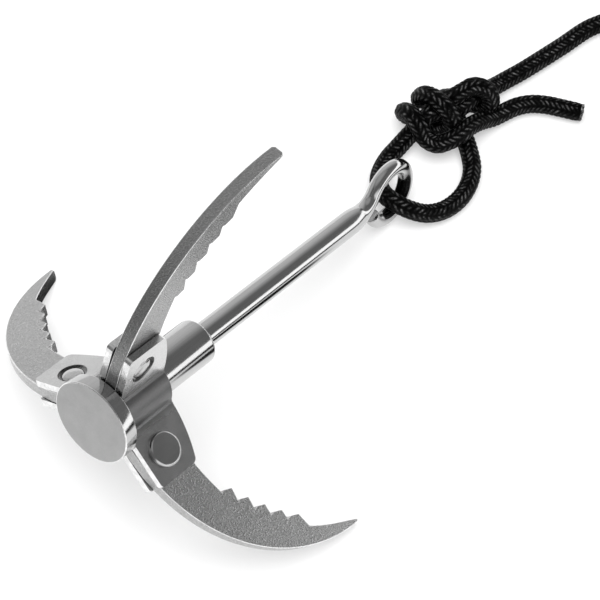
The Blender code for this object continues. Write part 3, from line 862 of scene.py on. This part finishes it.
TAIL_RECESS_DEPTH = 0.0019
INNER_FACE = CLAW_THICKNESS / 2 + GAP
OUTER_FACE = INNER_FACE + SHEET
EAR_CUTTER = (INNER_FACE - 0.001, 0.012)  # from where to where a cutter reaches, through one ear
CUTTER_STEPS = 64


def make_sleeve():
    start = DISC_THICKNESS + GAP
    bore = ROD_RADIUS + GAP
    corner = SLEEVE_CORNER
    rounding = SLEEVE_ROUNDING
    profile = [(start, bore)]
    profile += arc((start + corner, SLEEVE_RADIUS - corner), corner, pi, pi / 2, 4)
    profile += [(0.5 * (start + SLEEVE_END_X), SLEEVE_RADIUS)]
    profile += arc((SLEEVE_END_X - rounding, SLEEVE_RADIUS - rounding), rounding, pi / 2, 0.0, 10)
    profile += arc((SLEEVE_END_X - corner, bore + corner), corner, 0.0, -pi / 2, 4)
    bm = turned(profile, (1, 0, 0), 128, True)
    finish_piece("sleeve", bm, [TURNED], 0.0, (0, 0, 0), "hub", "hub_sleeve")


def ear_span(r):
    """Lowest and highest x of a bracket at the distance r from the centre line."""
    end = BRACKET_END_X - EAR_TAPER * max(0.0, r - EAR_TAPER_START) ** 2
    into_corner = r - (EAR_RADIUS - EAR_CORNER)
    inset = 0.0
    if into_corner > 0:
        inset = EAR_CORNER - sqrt(max(0.0, EAR_CORNER ** 2 - into_corner ** 2))
    return BRACKET_START_X + inset, end - inset


def bracket_stations():
    """(side, r, normal angle) along the bent sheet, from an ear's edge to the trough's middle."""
    ear_side = INNER_FACE + SHEET / 2
    web_radius = SLEEVE_RADIUS + GAP + SHEET / 2
    bend_side = ear_side + BEND_RADIUS
    bend_r = sqrt((web_radius + BEND_RADIUS) ** 2 - bend_side ** 2)
    web_angle = atan2(bend_side, bend_r)
    flat_r = EAR_RADIUS - EAR_CORNER
    stations = []
    for i in range(CORNER_STEPS + 1):
        turn = pi / 2 * i / CORNER_STEPS
        stations.append((ear_side, flat_r + EAR_CORNER * cos(turn), 0.0))
    for i in range(1, EAR_STEPS):
        stations.append((ear_side, flat_r + (bend_r - flat_r) * i / EAR_STEPS, 0.0))
    for i in range(BEND_STEPS + 1):
        turn = (pi / 2 - web_angle) * i / BEND_STEPS
        stations.append((bend_side - BEND_RADIUS * cos(turn), bend_r - BEND_RADIUS * sin(turn), turn))
    for i in range(1, BEND_STEPS + 1):
        around = web_angle + (HALF_SECTOR - web_angle) * i / BEND_STEPS
        stations.append((web_radius * sin(around), web_radius * cos(around), pi / 2 - around))
    return stations


def bracket_body():
    """The formed sheet between two neighbouring claws, for a first claw at angle 0."""
    first = bracket_stations()
    bm = bmesh.new()
    rings = []
    for mirrored, stations in ((False, first), (True, first[-2::-1])):
        for side, r, normal in stations:
            low, high = ear_span(r if normal == 0.0 else EAR_TAPER_START)
            ring = []
            for x, offset in ((low, -1), (high, -1), (high, 1), (low, 1)):
                across = side + offset * SHEET / 2 * cos(normal)
                out = r + offset * SHEET / 2 * sin(normal)
                angle = atan2(across, out)
                if mirrored:
                    angle = 2 * HALF_SECTOR - angle
                reach = hypot(across, out)
                ring.append(bm.verts.new((x, -reach * sin(angle), reach * cos(angle))))
            rings.append(ring)
    sides, ends = skin(bm, rings)
    for number, face in enumerate(sides):
        face.material_index = number % 2
    for face in ends:
        face.material_index = 1
    return bm


def mark_painted_shade(piece, angle):
    """Marks the sheet's painted shade and extra roughness: 1 round the sleeve, fading to 0 on the ears.
    """
    back = (SHANK_FRAME @ Matrix.Rotation(angle, 4, "X")).inverted()
    rough_and_painted_shade = piece.data.attributes.new("rough_and_painted_shade", "FLOAT", "POINT")
    for vert, value in zip(piece.data.vertices, rough_and_painted_shade.data):
        place = back @ vert.co
        value.value = 1 - ease((hypot(place.y, place.z) - PAINTED_SHADE_RADIUS) / PAINTED_SHADE_FADE)


def apply_modifiers(piece):
    """Replaces the piece's mesh by what its modifiers make of it."""
    bpy.context.view_layer.update()
    shaped = piece.evaluated_get(bpy.context.evaluated_depsgraph_get())
    mesh = bpy.data.meshes.new_from_object(shaped)
    piece.modifiers.clear()
    piece.data = mesh


def cut_round(piece, angle, profile, side):
    """Cuts the profile's turned shape out of the piece, about the rivet at that angle."""
    bm = turned(profile, (0, side, 0), CUTTER_STEPS, False)
    cutter = add_object("cutter", mesh_from("cutter", bm, []))
    turn = Matrix.Rotation(angle, 4, "X") @ Matrix.Translation(PIVOT)
    cutter.matrix_world = SHANK_FRAME @ turn
    boolean = piece.modifiers.new("hole", "BOOLEAN")
    boolean.operation = "DIFFERENCE"
    boolean.object = cutter
    apply_modifiers(piece)
    bpy.data.objects.remove(cutter, do_unlink=True)
    piece.data.shade_smooth()
    piece.data.set_sharp_from_angle(angle=SMOOTH_ANGLE)


def cut_ear(piece, angle, recessed):
    """Cuts a rivet's hole, or its hole and the recess for its tail, through an ear."""
    start, end = EAR_CUTTER
    profile = [(start, 0.0), (start, RIVET_HOLE_RADIUS)]
    outer = RIVET_HOLE_RADIUS
    if recessed:
        floor = OUTER_FACE - TAIL_RECESS_DEPTH
        outer = TAIL_RECESS_RADIUS
        profile += [(floor, RIVET_HOLE_RADIUS), (floor, outer)]
    profile += [(end, outer), (end, 0.0)]
    cut_round(piece, angle, profile, -1.0 if recessed else 1.0)


BRACKETS = {
    "bracket_right_top": ("upper", "right"),
    "bracket_bottom": ("right", "left"),
    "bracket_left_top": ("left", "upper"),
}


def make_brackets():
    for node, (first, second) in BRACKETS.items():
        piece = finish_piece(
            node + "_sheet", bracket_body(), [SHEET_STEEL, EDGE], CLAW_ANGLES[first], (0, 0, 0),
            "hub", node,
        )
        cut_ear(piece, CLAW_ANGLES[first], True)
        cut_ear(piece, CLAW_ANGLES[second], False)
        add_bevel(piece, SHEET_BEVEL, SHEET_BEVEL_ANGLE)
        apply_modifiers(piece)
        mark_painted_shade(piece, CLAW_ANGLES[first])


def make_rivets():
    head_face = -OUTER_FACE - GAP / 3
    head_top = head_face - RIVET_HEAD_HEIGHT
    tail_floor = OUTER_FACE - TAIL_RECESS_DEPTH + GAP / 3
    rim = RIVET_HEAD_RADIUS
    profile = [(head_top, r) for r in (0.0, HEAD_RING_RADIUS, rim - RIM_ROUNDING - GAP / 3)]
    profile += arc((head_top + RIM_ROUNDING, rim - RIM_ROUNDING), RIM_ROUNDING, pi, pi / 2, 9)
    profile += [(head_face, rim), (head_face, RIVET_RADIUS), (tail_floor, RIVET_RADIUS)]
    profile += [(tail_floor, TAIL_RADIUS)]
    profile += bezier(
        (tail_floor + TAIL_RISE / 2, TAIL_RADIUS), (OUTER_FACE - TAIL_RISE / 2, TAIL_RADIUS),
        (OUTER_FACE + 0.75 * TAIL_RISE, 0.72 * TAIL_RADIUS), (OUTER_FACE + TAIL_RISE, 0.0), 14,
    )
    for side, angle in CLAW_ANGLES.items():
        bm = turned(profile, (0, -1, 0), 96, False)
        finish_piece(
            "rivet_" + side + "_pin", bm, [RIVET_STEEL], angle, PIVOT,
            "hub", "rivet_" + side, RIVET_SMOOTH_ANGLE,
        )


make_sleeve()
make_brackets()
make_rivets()

# ---- claws ----
TOOTH_COUNT = 5
FIRST_TOOTH = (0.0348, 0.0525)
TOOTH_PITCH = 0.00795
TOOTH_ROW_START = radians(59.0)
TOOTH_ROW_TURN = radians(4.6)
TOOTH_TOP = 0.0039
TOOTH_TOP_ANGLE = radians(21)
TOOTH_FLANK = 0.00595
TOOTH_FLANK_LOSS = 0.00048
TOOTH_FLANK_ANGLE = radians(98.5)
TOOTH_FLANK_TURN = radians(3.3)
OUTER_EDGE = ((0.0070, 0.0280), (0.0107, 0.0644), (0.0394, 0.0953), (0.0770, 0.0960))
POINT_EDGE = ((0.0774, 0.0952), (0.0708, 0.0920), (0.0634, 0.0894), (0.0555, 0.0840))
NECK_EDGE = ((0.0299, 0.0517), (0.0281, 0.0440), (0.0268, 0.0390), (0.0267, 0.0330))
BASE_RADIUS = 0.0115
HEEL_HEIGHTS = (0.0126, 0.0142)
HEEL_SLOPE = 0.0022
TIP_DIRECTION = radians(16)
TIP_GRIND = (0.0012, 0.0010)  # along the claw, and in from its side
CLAW_CUTTER_END = 0.010
CLAW_BEVEL = 0.00038
CLAW_BEVEL_ANGLE = radians(40)


def claw_teeth():
    """The toothed edge from the hub outwards."""
    points = []
    x, r = FIRST_TOOTH
    for i in range(TOOTH_COUNT):
        if i > 0:
            row = TOOTH_ROW_START - TOOTH_ROW_TURN * (i - 1)
            x += TOOTH_PITCH * cos(row)
            r += TOOTH_PITCH * sin(row)
        points.append((x - TOOTH_TOP * cos(TOOTH_TOP_ANGLE), r - TOOTH_TOP * sin(TOOTH_TOP_ANGLE)))
        points.append((x, r))
        if i < TOOTH_COUNT - 1:
            length = TOOTH_FLANK - TOOTH_FLANK_LOSS * i
            angle = TOOTH_FLANK_ANGLE - TOOTH_FLANK_TURN * i
            points.append((x + length * cos(angle), r + length * sin(angle)))
    return points


def claw_outline():
    """Outline of an open claw as (x, r): out along its back, in along its teeth, round its base."""
    heel_x = DISC_THICKNESS + GAP
    outer = bezier(*OUTER_EDGE, 72) + bezier(*POINT_EDGE, 16)
    base = arc((PIVOT_X, PIVOT_R), BASE_RADIUS, radians(25), radians(-90), 24)
    heel = [(heel_x + HEEL_SLOPE, HEEL_HEIGHTS[0]), (heel_x, HEEL_HEIGHTS[1])]
    return outer + claw_teeth()[::-1] + bezier(*NECK_EDGE, 14) + base + heel


def blunt_tip(bm):
    """Grinds off the tip's corners on both sides."""
    x, r = POINT_EDGE[0]
    tip = Vector((x - PIVOT_X, 0.0, r - PIVOT_R))
    outward = Vector((cos(TIP_DIRECTION), 0.0, sin(TIP_DIRECTION)))
    for side in (-1, 1):
        corner = tip + Vector((0.0, side * CLAW_THICKNESS / 2, 0.0))
        across = outward * TIP_GRIND[1] + Vector((0.0, side * TIP_GRIND[0], 0.0))
        place = corner - outward * TIP_GRIND[0]
        parts = bm.verts[:] + bm.edges[:] + bm.faces[:]
        cut = bmesh.ops.bisect_plane(
            bm, geom=parts, plane_co=place, plane_no=across, clear_outer=True,
        )
        edges = [part for part in cut["geom_cut"] if isinstance(part, bmesh.types.BMEdge)]
        bmesh.ops.holes_fill(bm, edges=edges)


def make_claws():
    """The three plates, each cut out, pushed to its thickness, ground at its tip and drilled."""
    outline = [(x - PIVOT_X, -CLAW_THICKNESS / 2, r - PIVOT_R) for x, r in claw_outline()]
    end = CLAW_CUTTER_END
    hole = [(-end, 0.0), (-end, RIVET_HOLE_RADIUS), (end, RIVET_HOLE_RADIUS), (end, 0.0)]
    for side, angle in CLAW_ANGLES.items():
        bm = bmesh.new()
        face = bm.faces.new([bm.verts.new(point) for point in outline])
        pushed = bmesh.ops.extrude_face_region(bm, geom=[face])
        moved = [v for v in pushed["geom"] if isinstance(v, bmesh.types.BMVert)]
        bmesh.ops.translate(bm, verts=moved, vec=(0.0, CLAW_THICKNESS, 0.0))
        blunt_tip(bm)
        piece = finish_piece(
            "claw_" + side + "_plate", bm, [BLASTED, EDGE], angle, PIVOT,
            side + "_claw", "claw_" + side,
        )
        cut_round(piece, angle, hole, 1.0)
        add_bevel(piece, CLAW_BEVEL, CLAW_BEVEL_ANGLE)


make_claws()

# ---- floor and light ----
FLOOR = ((-0.32, -0.42), (0.66, 0.42))  # opposite corners of the white floor


def add_card(name, corners, mat):
    """A flat stage object from the four corners of a plane, in order."""
    mesh = bpy.data.meshes.new(name)
    mesh.from_pydata(corners, [], [(0, 1, 2, 3)])
    mesh.materials.append(mat)
    card = add_object(name, mesh)
    return card


def make_floor():
    """A pale floor, lit a little from below, so that shadows on it stay light."""
    (x0, y0), (x1, y1) = FLOOR
    make = Maker("pale_floor")
    make.set("Base Color", (0.56, 0.56, 0.56, 1.0))
    make.set("Emission Color", WHITE)
    make.set("Emission Strength", 0.40)
    make.set("Roughness", 0.9)
    make.set("Specular IOR Level", 0.0)
    add_card("floor", [(x0, y0, 0.0), (x1, y0, 0.0), (x1, y1, 0.0), (x0, y1, 0.0)], make.mat)


def card_material(name, glow, soft_edge):
    """A black flag with a soft round edge, which paints shade into reflections, or an evenly lit
    reflector.
    """
    make = Maker(name)
    make.tree.nodes.remove(make.shader)
    output = make.tree.nodes["Material Output"]
    light = make.node("Emission", {"Strength": glow})
    if not soft_edge:
        make.link(light.outputs["Emission"], output.inputs["Surface"])
        return make.mat
    ball = make.node("TexGradient", gradient_type="SPHERICAL")
    make.link(make.node("TexCoord").outputs["Object"], ball.inputs["Vector"])
    cover = make.node("MapRange", {"From Max": soft_edge}, interpolation_type="SMOOTHSTEP")
    make.link(ball.outputs["Fac"], cover.inputs["Value"])
    mix = make.node("MixShader")
    make.link(cover.outputs["Result"], mix.inputs[0])
    make.link(make.node("BsdfTransparent").outputs["BSDF"], mix.inputs[1])
    make.link(light.outputs["Emission"], mix.inputs[2])
    make.link(mix.outputs[0], output.inputs["Surface"])
    return make.mat


def only_reflected(card):
    """Leaves the card visible in reflections alone."""
    for rays in ("camera", "diffuse", "shadow", "transmission"):
        setattr(card, "visible_" + rays, False)


FLAGS = {  # middle, half sizes and turn of the dark cards on the floor, which only reflections see: painted shade in the steel
    "flag_by_upper_claw": ((0.034, -0.080), (0.046, 0.060), -11),
    "flag_by_left_claw": ((-0.030, 0.046), (0.050, 0.024), 104),
    "flag_by_right_claw": ((0.244, -0.221), (0.450, 0.200), 48),
}
FLAG_HEIGHT = 0.0004  # of the lowest flag; each next one lies a step higher
FLAG_STEP = 0.0001
FLAG_GLOW = 0.02
FLAG_SOFT_EDGE = 0.35
REFLECTOR = ((-0.13, -0.89), (0.87, 0.22), 0.155)  # its two ends on the floor, and its height
REFLECTOR_GLOW = 1.9


def make_cards():
    """The flags and the low reflector that shape the reflections in the steel; the flags paint shade into
    them, in place of shadows and darker floor.
    """
    flag_mat = card_material("flag", FLAG_GLOW, FLAG_SOFT_EDGE)
    for number, (name, (middle, half, turn)) in enumerate(FLAGS.items()):
        flag = add_card(name, [(-1, -1, 0), (1, -1, 0), (1, 1, 0), (-1, 1, 0)], flag_mat)
        flag.location = (*middle, FLAG_HEIGHT + FLAG_STEP * number)
        flag.rotation_euler = (0.0, 0.0, radians(turn))
        flag.scale = (*half, 1.0)
        only_reflected(flag)
    (x0, y0), (x1, y1), top = REFLECTOR
    corners = [(x0, y0, 0.0), (x1, y1, 0.0), (x1, y1, top), (x0, y0, top)]
    reflector_mat = card_material("reflector", REFLECTOR_GLOW, None)
    only_reflected(add_card("low_reflector", corners, reflector_mat))


def make_room():
    """A dim studio, brighter overhead, towards the far side and in windows near and left."""
    world = bpy.data.worlds.new("studio")
    scene.world = world
    world.use_nodes = True
    tree = world.node_tree
    tree.nodes.clear()
    link = tree.links.new

    def node(kind, values=None, **settings):
        return add_node(tree, kind, values, **settings)

    def window(direction, low, high, dim, bright):
        """Light that grows from dim to bright as a ray turns to the direction."""
        dot = node("VectorMath", {1: direction}, operation="DOT_PRODUCT")
        link(coordinates.outputs["Generated"], dot.inputs[0])
        values = {"From Min": low, "From Max": high, "To Min": dim, "To Max": bright}
        ramp = node("MapRange", values, interpolation_type="SMOOTHSTEP")
        link(dot.outputs["Value"], ramp.inputs["Value"])
        return ramp.outputs["Result"]

    def brightest(first, second):
        made = node("Math", operation="MAXIMUM")
        link(first, made.inputs[0])
        link(second, made.inputs[1])
        return made.outputs["Value"]

    coordinates = node("TexCoord")
    far_side = window((0.50, 0.866, 0.0), 0.30, 1.05, 0.24, 1.05)
    near_side = window((-0.545, -0.839, 0.0), 0.70, 0.92, 0.0, 1.5)
    left_side = window((-0.47, 0.81, 0.34), 0.80, 0.97, 0.0, 0.8)
    overhead = window((0.0, 0.30, 0.954), 0.62, 1.0, 0.0, 0.6)
    light = brightest(brightest(far_side, near_side), brightest(left_side, overhead))
    path = node("LightPath")
    background = node("Background")
    link(light, background.inputs["Strength"])
    plain = node("Background", {"Color": WHITE, "Strength": 1.05})
    mix = node("MixShader")
    link(path.outputs["Is Camera Ray"], mix.inputs[0])
    link(background.outputs[0], mix.inputs[1])
    link(plain.outputs[0], mix.inputs[2])
    output = node("OutputWorld")
    link(mix.outputs[0], output.inputs["Surface"])


def add_softbox(place, target, size, power):
    """A wide lamp overhead, too soft to show in the steel."""
    data = bpy.data.lights.new("softbox", "AREA")
    data.shape = "SQUARE"
    data.size = size
    data.energy = power
    light = add_object("softbox", data)
    light.location = place
    light.rotation_euler = (Vector(target) - Vector(place)).to_track_quat("-Z", "Y").to_euler()
    light.visible_glossy = False


make_floor()
make_cards()
make_room()
add_softbox((-0.3, -0.2, 2.4), (0.05, 0.0, 0.0), 2.2, 80.0)
scene.view_settings.view_transform = "Standard"
